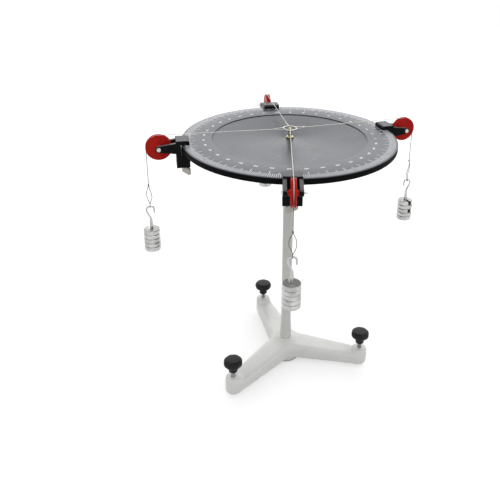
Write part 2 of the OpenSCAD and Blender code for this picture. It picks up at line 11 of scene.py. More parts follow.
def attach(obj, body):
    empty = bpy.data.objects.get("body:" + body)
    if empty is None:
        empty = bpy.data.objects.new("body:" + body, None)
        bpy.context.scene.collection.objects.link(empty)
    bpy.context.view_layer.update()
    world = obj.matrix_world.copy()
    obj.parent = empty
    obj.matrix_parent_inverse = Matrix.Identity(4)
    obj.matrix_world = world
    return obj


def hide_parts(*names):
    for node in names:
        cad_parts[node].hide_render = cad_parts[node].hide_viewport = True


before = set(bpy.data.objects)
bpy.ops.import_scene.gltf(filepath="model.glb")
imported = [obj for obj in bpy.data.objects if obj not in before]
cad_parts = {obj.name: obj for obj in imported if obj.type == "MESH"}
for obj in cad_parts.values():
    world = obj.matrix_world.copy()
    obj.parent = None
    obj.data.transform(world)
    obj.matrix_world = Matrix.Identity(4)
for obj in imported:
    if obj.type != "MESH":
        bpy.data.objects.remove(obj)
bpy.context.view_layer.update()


# The tripod is one iron casting: a hub with a level seat for the pillar, and three legs
# that end in round bosses. Sand casting leaves every corner soft, and the pale grey
# enamel on it has a faint orange peel. The foot of the hub is painted dark, as painted shade under it.
LEGS = {"back": 110.4, "front": 230.4, "right": 350.4}
LEG_REACH = 0.158
LEG_UNDER = 0.0112
LEVEL_BORE = 0.0043
BORE_ZONE = 0.0052
SEAT_PLUG_R = 0.0106
SEAT_LOW = 0.038
SEAT_TOP = 0.0485
HUB_R = 0.0265
HUB_FLARE = 0.0035
FOOT_SHADE_BELOW = 0.0050
FOOT_SHADE_FADE_ABOVE = 0.0060
FLANK = ((0.035, 0.0065, 0.0245, 0.0114, 0.0405), (LEG_REACH, 0.0065, 0.0172, 0.0090, 0.0318))
CASTING_VOXEL = 0.00125
CASTING_ROUNDS = 40
CASTING_GIVE = 0.5
HUB_GIVE = 0.04


def paint(red, green, blue):
    """A colour as a picture program gives it, from 0 to 255, for a shader's socket."""
    linear = [((c / 255 + 0.055) / 1.055) ** 2.4 if c > 10 else c / 3294 for c in (red, green, blue)]
    return (*linear, 1.0)


def put(tree, kind, inputs=None, **settings):
    """Adds a node to a tree. An input takes a plain value or the socket that feeds it."""
    node = tree.nodes.new(kind)
    for name, value in settings.items():
        setattr(node, name, value)
    for name, value in (inputs or {}).items():
        if isinstance(value, bpy.types.NodeSocket):
            tree.links.new(value, node.inputs[name])
        else:
            node.inputs[name].default_value = value
    return node


def new_group(name, kind, inputs, outputs):
    """A node group with named sockets, its input node's sockets and its output node."""
    group = bpy.data.node_groups.new(name, kind)
    for label, socket_type, value in inputs:
        socket = group.interface.new_socket(label, in_out="INPUT", socket_type=socket_type)
        if value is not None:
            socket.default_value = value
    for label, socket_type in outputs:
        group.interface.new_socket(label, in_out="OUTPUT", socket_type=socket_type)
    return group, put(group, "NodeGroupInput").outputs, put(group, "NodeGroupOutput")


def surface_group():
    """Grain, cloudy handling marks and fine scratches that most of the finishes share."""
    group, given, out = new_group(
        "handled_surface", "ShaderNodeTree",
        [("Grain Scale", "NodeSocketFloat", 900.0), ("Cloud Scale", "NodeSocketFloat", 25.0),
         ("Scratch Scale", "NodeSocketFloat", 120.0)],
        [("Grain", "NodeSocketFloat"), ("Cloud", "NodeSocketFloat"), ("Scratch", "NodeSocketFloat")])
    place = put(group, "ShaderNodeTexCoord").outputs["Object"]
    grain = put(group, "ShaderNodeTexNoise", {"Vector": place, "Scale": given["Grain Scale"], "Detail": 3.0})
    cloud = put(group, "ShaderNodeTexNoise", {"Vector": place, "Scale": given["Cloud Scale"], "Detail": 5.0,
                                              "Roughness": 0.6})
    turned_place = put(group, "ShaderNodeMapping", {"Vector": place, "Rotation": (0.3, 0.5, 0.8),
                                                    "Scale": (1.0, 14.0, 1.0)})
    streak = put(group, "ShaderNodeTexNoise", {"Vector": turned_place.outputs[0],
                                               "Scale": given["Scratch Scale"], "Detail": 2.0})
    scratch = put(group, "ShaderNodeMapRange", {"Value": streak.outputs["Fac"], "From Min": 0.66,
                                                "From Max": 0.74, "To Min": 0.0, "To Max": 1.0})
    group.links.new(grain.outputs["Fac"], out.inputs["Grain"])
    group.links.new(cloud.outputs["Fac"], out.inputs["Cloud"])
    group.links.new(scratch.outputs["Result"], out.inputs["Scratch"])
    return group


handled_surface = surface_group()


def finish(name, colour, worn, rough, smooth, grain=900.0, cloud=25.0, scratch=120.0, bump=0.0001,
           metallic=0.0, specular=0.5, coat=0.0, coat_rough=0.1, scuff=0.25):
    """A finish with cloudy colour, uneven gloss, fine grain and a few scratches.

    colour is the clean colour and worn the colour of its handled and scratched places.
    The roughness runs from smooth to rough with the clouds."""
    material = bpy.data.materials.new(name)
    material.use_nodes = True
    tree = material.node_tree
    tree.nodes.clear()
    marks = put(tree, "ShaderNodeGroup", node_tree=handled_surface)
    for label, value in (("Grain Scale", grain), ("Cloud Scale", cloud), ("Scratch Scale", scratch)):
        marks.inputs[label].default_value = value
    patch = put(tree, "ShaderNodeMapRange", {"Value": marks.outputs["Cloud"], "From Min": 0.35,
                                             "From Max": 0.75})
    scuffed = put(tree, "ShaderNodeMath", {0: marks.outputs["Scratch"], 1: scuff}, operation="MULTIPLY")
    share = put(tree, "ShaderNodeMath", {0: patch.outputs["Result"], 1: scuffed.outputs[0]},
                operation="MAXIMUM")
    tint = put(tree, "ShaderNodeMix", {"Factor": share.outputs[0], "A": colour, "B": worn}, data_type="RGBA")
    gloss = put(tree, "ShaderNodeMapRange", {"Value": marks.outputs["Cloud"], "From Min": 0.3,
                                             "From Max": 0.7, "To Min": smooth, "To Max": rough})
    relief = put(tree, "ShaderNodeBump", {"Height": marks.outputs["Grain"], "Strength": 1.0,
                                          "Distance": bump})
    shader = put(tree, "ShaderNodeBsdfPrincipled", {
        "Base Color": tint.outputs["Result"], "Roughness": gloss.outputs["Result"],
        "Normal": relief.outputs["Normal"], "Metallic": metallic, "Specular IOR Level": specular,
        "Coat Weight": coat, "Coat Roughness": coat_rough})
    put(tree, "ShaderNodeOutputMaterial", {"Surface": shader.outputs["BSDF"]})
    return material


def shader_of(material):
    """The one shader of a finish."""
    return next(node for node in material.node_tree.nodes if node.type == "BSDF_PRINCIPLED")


def toned(material, share, tone):
    """Mixes another tone into a finish's colour, by the share that a socket gives."""
    tree = material.node_tree
    colour = shader_of(material).inputs["Base Color"]
    clean = colour.links[0].from_socket
    tint = put(tree, "ShaderNodeMix", {"Factor": share, "A": clean, "B": tone}, data_type="RGBA")
    tree.links.new(tint.outputs["Result"], colour)
    return material


def toned_below(material, tone, clean_z, toned_z):
    """Gives another tone to what lies below a height, coming in between two heights."""
    tree = material.node_tree
    place = put(tree, "ShaderNodeSeparateXYZ", {0: put(tree, "ShaderNodeTexCoord").outputs["Object"]})
    share = put(tree, "ShaderNodeMapRange", {"Value": place.outputs["Z"], "From Min": toned_z,
                                             "From Max": clean_z, "To Min": 1.0, "To Max": 0.0})
    return toned(material, share.outputs["Result"], tone)


def add_piece(name, mesh, material, body, slot, *nodes):
    """Puts a finished mesh into the scene on its body, in place of its CAD nodes."""
    piece = bpy.data.objects.new(name, mesh)
    bpy.context.scene.collection.objects.link(piece)
    if material is not None:
        mesh.materials.clear()
        mesh.materials.append(material)
    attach(piece, body)
    if nodes:
        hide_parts(*nodes)
    return piece


def made(blank):
    """The mesh of an object with its modifiers applied. The object itself goes away."""
    bpy.context.scene.collection.objects.link(blank)
    mesh = bpy.data.meshes.new_from_object(blank.evaluated_get(bpy.context.evaluated_depsgraph_get()))
    bpy.data.objects.remove(blank)
    return mesh


def closed_copy(node):
    """A CAD node's mesh with its loose triangles joined, as a new mesh."""
    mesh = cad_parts[node].data.copy()
    bm = bmesh.new()
    bm.from_mesh(mesh)
    bmesh.ops.remove_doubles(bm, verts=bm.verts, dist=1e-6)
    bm.to_mesh(mesh)
    bm.free()
    if "custom_normal" in mesh.attributes:
        mesh.attributes.remove(mesh.attributes["custom_normal"])
    return mesh


def leg_place(leg):
    """Where a leg's levelling screw stands on the bench."""
    return Matrix.Rotation(math.radians(LEGS[leg]), 4, "Z") @ Matrix.Translation((LEG_REACH, 0, 0))


def add_flank(bm, turn, way):
    """Adds a four-sided bar to a mesh, along one side of a leg from the hub to the boss.

    FLANK gives each end's reach, its near and far side, and its lowest and highest point."""
    ends = []
    for reach, near, far, low, high in FLANK:
        left, right = sorted((way * near, way * far))
        corners = ((reach, left, low), (reach, right, low), (reach, right, high), (reach, left, high))
        ends.append([bm.verts.new(turn @ Vector(corner)) for corner in corners])
    inner, outer = ends
    for k in range(4):
        j = (k + 1) % 4
        bm.faces.new((inner[k], inner[j], outer[j], outer[k]))
    bm.faces.new(inner[::-1])
    bm.faces.new(outer)


def skinned_casting():
    """The casting with a plug in its pillar seat and both flanks of each leg filled out, in one skin."""
    blank = closed_copy("base_casting")
    bm = bmesh.new()
    bm.from_mesh(blank)
    bmesh.ops.create_cone(bm, cap_ends=True, segments=48, radius1=SEAT_PLUG_R, radius2=SEAT_PLUG_R,
                          depth=SEAT_TOP - SEAT_LOW,
                          matrix=Matrix.Translation((0, 0, (SEAT_LOW + SEAT_TOP) / 2)))
    for angle in LEGS.values():
        turn = Matrix.Rotation(math.radians(angle), 4, "Z")
        add_flank(bm, turn, 1)
        add_flank(bm, turn, -1)
    bm.to_mesh(blank)
    bm.free()
    rough = bpy.data.objects.new("casting_blank", blank)
    skin = rough.modifiers.new("skin", "REMESH")
    skin.mode = "VOXEL"
    skin.voxel_size = CASTING_VOXEL
    return made(rough)


def softened_casting():
    """The skinned casting, rounded like a sand casting.

    The hub's foot keeps its edge and is flared, and the bores for the screws stay round."""
    mesh = skinned_casting()
    count = len(mesh.vertices)
    points = np.empty(count * 3)
    mesh.vertices.foreach_get("co", points)
    points = points.reshape(-1, 3)
    pairs = np.empty(len(mesh.edges) * 2, np.int32)
    mesh.edges.foreach_get("vertices", pairs)
    one, two = pairs.reshape(-1, 2).T
    near = np.bincount(one, minlength=count) + np.bincount(two, minlength=count)
    bores = np.array([leg_place(leg).translation[:2] for leg in LEGS])
    away = np.linalg.norm(points[:, None, :2] - bores[None], axis=2)
    in_bore = away.min(1) < BORE_ZONE
    from_axis = np.linalg.norm(points[:, :2], axis=1)
    margin, blend, core_r = 0.003, 0.004, 0.022
    foot = (points[:, 2] < LEG_UNDER) & (from_axis < HUB_R + margin)
    below_legs = np.clip((LEG_UNDER - points[:, 2]) / blend, 0, 1)
    off_core = np.clip((from_axis - core_r) / blend, 0, 1)
    flare = HUB_FLARE * below_legs * off_core
    points[foot, :2] *= (1 + flare / np.maximum(from_axis, 1e-9))[foot, None]
    free = np.where(in_bore, 0.0, np.where(foot, HUB_GIVE, CASTING_GIVE))[:, None]
    for _ in range(CASTING_ROUNDS):
        total = np.stack([np.bincount(one, points[two, k], count) + np.bincount(two, points[one, k], count)
                          for k in range(3)], axis=1)
        points += free * (total / near[:, None] - points)
    axis = bores[away.argmin(1)]
    offset = points[:, :2] - axis
    to_wall = LEVEL_BORE / np.maximum(np.linalg.norm(offset, axis=1), 1e-9)
    round_bore = axis + offset * to_wall[:, None]
    points[in_bore, :2] = round_bore[in_bore]
    mesh.vertices.foreach_set("co", points.ravel())
    mesh.shade_smooth()
    return mesh


enamel = finish("grey_enamel", paint(222, 222, 219), paint(212, 212, 209), 0.42, 0.30, grain=420, cloud=18,
                scratch=60, bump=0.00012, coat=0.25, coat_rough=0.2, scuff=0.12)
# Painted shade: the enamel darkens to near black at the hub's foot, standing in for the shadow under it.
toned_below(enamel, paint(46, 45, 44), FOOT_SHADE_FADE_ABOVE, FOOT_SHADE_BELOW)
add_piece("tripod_casting", softened_casting(), enamel, "stand", "grey_enamel", "base_casting")


# The pillar is a turned steel bar with a flared foot, painted grey. Its thread goes through
# the hub, where a washer and a nut in a counterbore hold it.
def dress(material, slot, *nodes):
    """Gives CAD nodes whose shape is right their finish."""
    for name in nodes:
        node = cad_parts[name]
        node.data.materials.clear()
        node.data.materials.append(material)


pillar_paint = finish("pillar_paint", paint(205, 204, 201), paint(196, 195, 192), 0.40, 0.28, grain=500,
                      cloud=14, scratch=50, bump=0.00008, scuff=0.15)
zinc = finish("zinc_plate", paint(150, 151, 152), paint(114, 115, 117), 0.42, 0.26, grain=1400, cloud=60,
              bump=0.00003, metallic=1.0, scuff=0.5)
dress(pillar_paint, "grey_paint", "pillar")
dress(zinc, "zinc_steel", "pillar_washer", "pillar_nut")


# Under the disc a cast flange sits on the pillar with two grub screws, and four screws
# hold the disc down on it.
flange_paint = finish("flange_paint", paint(52, 53, 56), paint(64, 65, 68), 0.55, 0.42, grain=380, cloud=22,
                      bump=0.0002, scuff=0.2)
dress(flange_paint, "dark_paint", "table_flange")
dress(zinc, "zinc_steel", "flange_grub_screws", "disc_screws")


# The disc is turned aluminium in satin black, with a raised band for the degree scale
# round a shallow recess. Its rim is matt. Its top faces are painted dark grey-blue, lighter than the black of
# the rim, as painted sheen.
DISC_TOP = 0.498
DISC_R = 0.200
DISC_T = 0.011
RECESS_R = 0.144
RECESS = 0.0015
DISC_STEPS = 288


def eased(profile, radius, steps=3, closed=False):
    """A profile of (radius, height) points with its corners rounded by a small radius."""
    points = [Vector(p) for p in profile]
    made_points = []
    for k, corner in enumerate(points):
        if not closed and k in (0, len(points) - 1):
            made_points.append(corner)
            continue
        before, after = points[k - 1] - corner, points[(k + 1) % len(points)] - corner
        cut = min(radius, 0.45 * before.length, 0.45 * after.length)
        start, end = corner + before.normalized() * cut, corner + after.normalized() * cut
        for step in range(steps + 1):
            t = step / steps
            made_points.append(start * (1 - t) ** 2 + corner * 2 * t * (1 - t) + end * t ** 2)
    return [tuple(p) for p in made_points]


def turned(name, profile, steps, closed=False, swell=None, sharp=32):
    """Turns (radius, height) points about Z into a mesh. swell changes a radius with its angle."""
    bm = bmesh.new()
    rings = []
    for radius, height in profile:
        if radius < 1e-7:
            rings.append([bm.verts.new((0, 0, height))] * steps)
            continue
        ring = []
        for k in range(steps):
            angle = 2 * math.pi * k / steps
            r = swell(radius, height, angle) if swell else radius
            ring.append(bm.verts.new((r * math.cos(angle), r * math.sin(angle), height)))
        rings.append(ring)
    for low, high in zip(rings, rings[1:] + (rings[:1] if closed else [])):
        for k in range(steps):
            j = (k + 1) % steps
            corners = list(dict.fromkeys((low[k], low[j], high[j], high[k])))
            if len(corners) > 2:
                bm.faces.new(corners)
    bmesh.ops.recalc_face_normals(bm, faces=bm.faces)
    mesh = bpy.data.meshes.new(name)
    bm.to_mesh(mesh)
    bm.free()
    mesh.shade_smooth()
    mesh.set_sharp_from_angle(angle=math.radians(sharp))
    return mesh


def disc_mesh():
    """The turned disc, with its recess, its rim and underside, and its band in their own materials; the top
    ones carry painted sheen.
    """
    under, floor_z, bore, break_r = DISC_TOP - DISC_T, DISC_TOP - RECESS, 0.0036, 0.0008
    profile = [(bore, under), (DISC_R - break_r, under), (DISC_R, under + break_r),
               (DISC_R, DISC_TOP - break_r), (DISC_R - break_r, DISC_TOP), (RECESS_R, DISC_TOP),
               (RECESS_R - break_r, floor_z), (bore, floor_z)]
    mesh = turned("disc_plate", eased(profile, 0.0004, closed=True), DISC_STEPS, closed=True)
    for part in mesh.polygons:
        on_top = part.normal.z > 0.5 and part.center.z > floor_z - 1e-4
        on_band = math.hypot(*part.center[:2]) > RECESS_R
        part.material_index = (2 if on_band else 0) if on_top else 1
    return mesh


satin = {"grain": 1100, "cloud": 9, "scratch": 26, "bump": 0.000001, "scuff": 0.10}
# Painted sheen: the top's dark grey-blue stands in for its reflection; the coat itself is as black as the
# rim.
disc_black_painted_sheen = finish("disc_black_painted_sheen", paint(48, 52, 62), paint(54, 58, 68), 0.32, 0.24, specular=0.205, **satin)
band_black_painted_sheen = finish("band_black_painted_sheen", paint(58, 62, 72), paint(64, 68, 78), 0.34, 0.26, specular=0.26, **satin)
rim_black = finish("rim_black", paint(9, 9, 11), paint(16, 17, 19), 0.62, 0.5, grain=700, cloud=30,
                   bump=0.00006, specular=0.03, scuff=0.25)
disc_plate = disc_mesh()
for coat_of_disc in (disc_black_painted_sheen, rim_black, band_black_painted_sheen):
    disc_plate.materials.append(coat_of_disc)
add_piece("disc_plate", disc_plate, None, "stand", "black_disc", "disc")


# The degree scale is screen printed in white on the band: a line for each degree, longer
# at each fifth and tenth, and a number at each tenth.
SCALE_OUT = 0.1960
LINE_LENGTH = 0.0125
FIFTH_EXTRA = 0.0055
TENTH_EXTRA = 0.0045
LINE_WIDTH = 0.00080
PRINT_RISE = 0.00008
NUMBER_R = 0.1600
NUMBER_HEIGHT = 0.0052
NUMBER_WEIGHT = 0.00022


def grown(name, tree, **sizes):
    """What a geometry tree makes with the given sizes, as a plain mesh."""
    blank = bpy.data.objects.new(name, bpy.data.meshes.new(name))
    modifier = blank.modifiers.new("make", "NODES")
    modifier.node_group = tree
    for socket in tree.interface.items_tree:
        if socket.in_out == "INPUT" and socket.name in sizes:
            modifier[socket.identifier] = sizes[socket.name]
    return made(blank)


def scale_tree():
    """Lines round a circle, all ending at one radius, with longer ones at each fifth and tenth."""
    number, whole = "NodeSocketFloat", "NodeSocketInt"
    tree, given, out = new_group(
        "degree_scale", "GeometryNodeTree",
        [("Count", whole, 360), ("Outer Radius", number, 0.19), ("Height", number, 0.5),
         ("Length", number, 0.007), ("Fifth Extra", number, 0.003), ("Tenth Extra", number, 0.004),
         ("Width", number, 0.0004), ("Rise", number, 0.0001), ("Material", "NodeSocketMaterial", None)],
        [("Geometry", "NodeSocketGeometry")])
    circle = put(tree, "GeometryNodeMeshCircle", {"Vertices": given["Count"],
                                                  "Radius": given["Outer Radius"]})
    index = put(tree, "GeometryNodeInputIndex").outputs[0]
    length = given["Length"]
    for every, extra in ((5, "Fifth Extra"), (10, "Tenth Extra")):
        left_over = put(tree, "ShaderNodeMath", {0: index, 1: every}, operation="MODULO")
        chosen = put(tree, "ShaderNodeMath", {0: left_over.outputs[0], 1: 0.5}, operation="LESS_THAN")
        longer = put(tree, "ShaderNodeMath", {0: chosen.outputs[0], 1: given[extra], 2: length},
                     operation="MULTIPLY_ADD")
        length = longer.outputs[0]
    share = put(tree, "ShaderNodeMath", {0: 2 * math.pi, 1: given["Count"]}, operation="DIVIDE")
    angle = put(tree, "ShaderNodeMath", {0: index, 1: share.outputs[0]}, operation="MULTIPLY")
    euler = put(tree, "ShaderNodeCombineXYZ", {"Z": angle.outputs[0]})
    turn = put(tree, "FunctionNodeEulerToRotation", {"Euler": euler.outputs[0]})
    size = put(tree, "ShaderNodeCombineXYZ", {"X": length, "Y": given["Width"], "Z": given["Rise"]})
    bar = put(tree, "GeometryNodeMeshCube")
    ended = put(tree, "GeometryNodeTransform", {"Geometry": bar.outputs["Mesh"], "Translation": (-0.5, 0, 0)})
    lines = put(tree, "GeometryNodeInstanceOnPoints", {
        "Points": circle.outputs["Mesh"], "Instance": ended.outputs["Geometry"],
        "Rotation": turn.outputs["Rotation"], "Scale": size.outputs[0]})
    lift = put(tree, "ShaderNodeCombineXYZ", {"Z": given["Height"]})
    raised = put(tree, "GeometryNodeTransform", {"Geometry": lines.outputs["Instances"],
                                                 "Translation": lift.outputs[0]})
    solid = put(tree, "GeometryNodeRealizeInstances", {"Geometry": raised.outputs["Geometry"]})
    inked = put(tree, "GeometryNodeSetMaterial", {"Geometry": solid.outputs["Geometry"],
                                                  "Material": given["Material"]})
    tree.links.new(inked.outputs["Geometry"], out.inputs["Geometry"])
    return tree


def numbers_mesh():
    """The numbers of the scale, each set square to its line with its foot outwards."""
    bm = bmesh.new()
    for degrees in range(0, 360, 10):
        words = bpy.data.curves.new("number", "FONT")
        words.body = str(degrees)
        words.size = NUMBER_HEIGHT
        words.extrude = PRINT_RISE
        words.offset = NUMBER_WEIGHT
        words.align_x = "CENTER"
        words.align_y = "CENTER"
        words.resolution_u = 3
        mesh = made(bpy.data.objects.new("number", words))
        turn = Matrix.Rotation(math.radians(degrees), 4, "Z")
        stand = Matrix.Translation((NUMBER_R, 0, DISC_TOP)) @ Matrix.Rotation(math.radians(90), 4, "Z")
        mesh.transform(turn @ stand)
        bm.from_mesh(mesh)
        bpy.data.meshes.remove(mesh)
        bpy.data.curves.remove(words)
    whole = bpy.data.meshes.new("degree_numbers")
    bm.to_mesh(whole)
    bm.free()
    return whole


white_ink = finish("white_ink", paint(250, 251, 254), paint(236, 237, 242), 0.55, 0.45, grain=1600, cloud=90,
                   bump=0.00002, scuff=0.3)
degree_lines = grown("degree_lines", scale_tree(), **{
    "Count": 360, "Outer Radius": SCALE_OUT, "Height": DISC_TOP, "Length": LINE_LENGTH,
    "Fifth Extra": FIFTH_EXTRA, "Tenth Extra": TENTH_EXTRA, "Width": LINE_WIDTH, "Rise": 2 * PRINT_RISE,
    "Material": white_ink})
add_piece("degree_lines", degree_lines, white_ink, "stand", "white_cord")
add_piece("degree_numbers", numbers_mesh(), white_ink, "stand", "white_cord")


# The centre post is turned brass: a plain pin on a round flange. It goes through the disc
# to a washer and a nut, and the plated wire ring that takes the cords lies round its pin.
RING_Z = 0.5144
RING_R = 0.0125
RING_WIRE_R = 0.0015


def lathe_lines(name, colour, worn, rough, smooth, pitch, bump):
    """A turned metal: fine tool lines at a pitch in Z, with cloudy tarnish and a few scratches."""
    bands_at_scale_one = 3.18
    material = finish(name, colour, worn, rough, smooth, grain=1500, cloud=70, scratch=220, bump=0.00002,
                      metallic=1.0, scuff=0.35)
    tree = material.node_tree
    place = put(tree, "ShaderNodeTexCoord").outputs["Object"]
    lines = put(tree, "ShaderNodeTexWave", {
        "Vector": place, "Scale": 1 / pitch / bands_at_scale_one, "Distortion": 0.6, "Detail": 2.0,
        "Detail Scale": 3.0}, bands_direction="Z")
    facing = shader_of(material).inputs["Normal"]
    grain = facing.links[0].from_socket
    cut = put(tree, "ShaderNodeBump", {"Height": lines.outputs["Fac"], "Strength": 0.6, "Distance": bump,
                                       "Normal": grain})
    tree.links.new(cut.outputs["Normal"], facing)
    return material


def post_profile():
    """The post from its lower thread to the top of its pin."""
    pin, flange, flange_h, break_r, tip = 0.0035, 0.007, 0.003, 0.0008, 0.0012
    low, floor_z, top = 0.475, DISC_TOP - RECESS, DISC_TOP + 0.0175
    flange_top = floor_z + flange_h
    return [(0, low), (pin - 0.0005, low), (pin, low + 0.0007), (pin, floor_z), (flange, floor_z),
            (flange, flange_top - break_r), (flange - break_r, flange_top), (pin, flange_top),
            (pin, top - tip), (pin - tip, top), (0, top)]


def torus_profile(radius, wire, sides=16):
    """The round section of a wire ring, as a closed profile."""
    turn = [2 * math.pi * k / sides for k in range(sides)]
    return [(radius + wire * math.cos(a), wire * math.sin(a)) for a in turn]


brass = lathe_lines("turned_brass", paint(190, 178, 140), paint(154, 140, 100), 0.30, 0.16, pitch=0.0004,
                    bump=0.00002)
nickel = finish("nickel_plate", paint(205, 203, 198), paint(170, 168, 162), 0.26, 0.12, grain=1500, cloud=80,
                scratch=160, bump=0.00001, metallic=1.0, scuff=0.4)
post = turned("centre_post_turned", eased(post_profile(), 0.0003), 48)
add_piece("centre_post_turned", post, brass, "stand", "brass", "centre_post")
dress(zinc, "zinc_steel", "post_washer", "post_nut")
ring = turned("cord_ring", torus_profile(RING_R, RING_WIRE_R), 72, closed=True)
ring.transform(Matrix.Translation((0, 0, RING_Z)))
add_piece("cord_ring", ring, nickel, "stand", "nickel", "ring")


# Three levelling screws with rolled threads go through the leg bosses. Each stands on a
# plain point and carries a round black plastic knob with shallow flutes and a domed crown.
LEVEL_R = 0.004
LEVEL_PITCH = 0.00125
POINT_R = 0.003
POINT_H = 0.0062
THREAD_LOW = 0.006
IN_KNOB = 0.014
KNOB_FOOT = 0.0555
KNOB_H = 0.028
KNOB_FLUTES = 8


def thread_tree():
    """A bar whose side is drawn in along a helix, as a rolled thread, and plain at both ends."""
    number, whole = "NodeSocketFloat", "NodeSocketInt"
    tree, given, out = new_group(
        "rolled_thread", "GeometryNodeTree",
        [("Radius", number, 0.004), ("Length", number, 0.05), ("Pitch", number, 0.00125),
         ("Depth", number, 0.0006), ("Rings", whole, 200), ("Sides", whole, 24),
         ("Material", "NodeSocketMaterial", None)],
        [("Geometry", "NodeSocketGeometry")])
    bar = put(tree, "GeometryNodeMeshCylinder", {
        "Vertices": given["Sides"], "Side Segments": given["Rings"], "Radius": given["Radius"],
        "Depth": given["Length"]})
    place = put(tree, "GeometryNodeInputPosition").outputs[0]
    axes = put(tree, "ShaderNodeSeparateXYZ", {0: place})

    def math_node(operation, *values):
        """The result of a sum on values or sockets."""
        return put(tree, "ShaderNodeMath", dict(enumerate(values)), operation=operation).outputs[0]

    around = math_node("DIVIDE", math_node("ARCTAN2", axes.outputs["Y"], axes.outputs["X"]), 2 * math.pi)
    climb = math_node("DIVIDE", axes.outputs["Z"], given["Pitch"])
    phase = math_node("FRACT", math_node("SUBTRACT", climb, around))
    valley = math_node("ABSOLUTE", math_node("MULTIPLY_ADD", phase, 2.0, -1.0))
    half = math_node("MULTIPLY", given["Length"], 0.5)
    from_end = math_node("SUBTRACT", half, math_node("ABSOLUTE", axes.outputs["Z"]))
    run_out = math_node("MINIMUM", math_node("DIVIDE", from_end, given["Pitch"]), 1.0)
    cut = math_node("MULTIPLY", math_node("MULTIPLY", valley, run_out), given["Depth"])
    keep = math_node("SUBTRACT", 1.0, math_node("DIVIDE", cut, given["Radius"]))
    drawn = put(tree, "ShaderNodeCombineXYZ", {
        "X": math_node("MULTIPLY", axes.outputs["X"], keep),
        "Y": math_node("MULTIPLY", axes.outputs["Y"], keep), "Z": axes.outputs["Z"]})
    rolled = put(tree, "GeometryNodeSetPosition", {"Geometry": bar.outputs["Mesh"],
                                                   "Position": drawn.outputs[0]})
    solid = put(tree, "GeometryNodeRealizeInstances", {"Geometry": rolled.outputs["Geometry"]})
    plated = put(tree, "GeometryNodeSetMaterial", {"Geometry": solid.outputs["Geometry"],
                                                   "Material": given["Material"]})
    tree.links.new(plated.outputs["Geometry"], out.inputs["Geometry"])
    return tree


rolled_thread = thread_tree()


def threaded(name, radius, low, high, pitch, material, sides=24):
    """A threaded bar about Z between two heights."""
    depth_share, rings_a_turn = 0.55, 6
    mesh = grown(name, rolled_thread, **{
        "Radius": radius, "Length": high - low, "Pitch": pitch, "Depth": depth_share * pitch,
        "Rings": int((high - low) / pitch * rings_a_turn), "Sides": sides, "Material": material})
    mesh.transform(Matrix.Translation((0, 0, (low + high) / 2)))
    mesh.shade_smooth()
    mesh.set_sharp_from_angle(angle=math.radians(60))
    return mesh


def joined(name, *meshes):
    """Several meshes of one piece as one mesh."""
    bm = bmesh.new()
    for mesh in meshes:
        bm.from_mesh(mesh)
        bpy.data.meshes.remove(mesh)
    whole = bpy.data.meshes.new(name)
    bm.to_mesh(whole)
    bm.free()
    return whole


def knob_mesh(name):
    """The knob: a straight stem under a round head with a flat underside and shallow flutes."""
    head_r, stem_r, head_z, flute, flute_in, corner = 0.0185, 0.0087, 0.013, 0.0006, 0.0015, 0.0014
    stem = [(0, 0), (stem_r - 0.0006, 0), (stem_r, 0.0006), (stem_r + 0.0003, head_z - 0.0022),
            (stem_r + 0.0012, head_z - 0.0006)]
    head = [(head_r - 0.0040, head_z + 0.0004), (head_r - 0.0010, head_z + 0.0022),
            (head_r, head_z + 0.0056), (head_r, KNOB_H - 0.0060)]
    crown = [(head_r - 0.001, KNOB_H - 0.0032), (head_r - 0.003, KNOB_H - 0.0015),
             (head_r - 0.006, KNOB_H - 0.0005), (0, KNOB_H)]

    def flutes(radius, height, angle):
        """The radius with its flute cut in, which runs out towards the stem."""
        depth = min(1.0, max(0.0, (radius - stem_r - flute_in) / (head_r - stem_r - flute_in)))
        wave = 0.5 + 0.5 * math.cos(KNOB_FLUTES * angle)
        return radius - flute * depth * wave ** 2

    return turned(name, eased(stem + head + crown, corner, 4), KNOB_FLUTES * 16, swell=flutes, sharp=55)


knob_black = finish("knob_black", paint(27, 27, 28), paint(39, 39, 40), 0.42, 0.26, grain=800, cloud=60,
                    scratch=140, bump=0.00006, specular=0.14, scuff=0.2)
for leg in LEGS:
    stand_at = leg_place(leg)
    point = turned("point", eased([(0, 0), (POINT_R, 0), (POINT_R, POINT_H), (0, POINT_H)], 0.0006), 24)
    bar = threaded("bar", LEVEL_R, THREAD_LOW, KNOB_FOOT + IN_KNOB, LEVEL_PITCH, zinc)
    screw = joined(f"level_thread_{leg}", point, bar)
    screw.transform(stand_at)
    add_piece(screw.name, screw, zinc, f"level_screw_{leg}", "zinc_steel", f"levelling_screw_{leg}")
    knob = knob_mesh(f"fluted_knob_{leg}")
    knob.transform(stand_at @ Matrix.Translation((0, 0, KNOB_FOOT)))
    add_piece(knob.name, knob, knob_black, f"level_knob_{leg}", "black_plastic", f"levelling_knob_{leg}")


# Four pulley clamps of moulded black plastic grip the rim. Each is a C with a fork, whose
# two arms carry the pulley's axle, and its edges are broken as a mould leaves them.
CLAMPS = {"right": 20.1, "back": 102.4, "left": 193.1, "front": 271.7}
AXLE_X = 0.2398
AXLE_DROP = 0.006


def clamp_place(side):
    """A clamp's own frame: X outwards from the pillar's axis, Z from the disc's top face."""
    return Matrix.Translation((0, 0, DISC_TOP)) @ Matrix.Rotation(math.radians(CLAMPS[side]), 4, "Z")


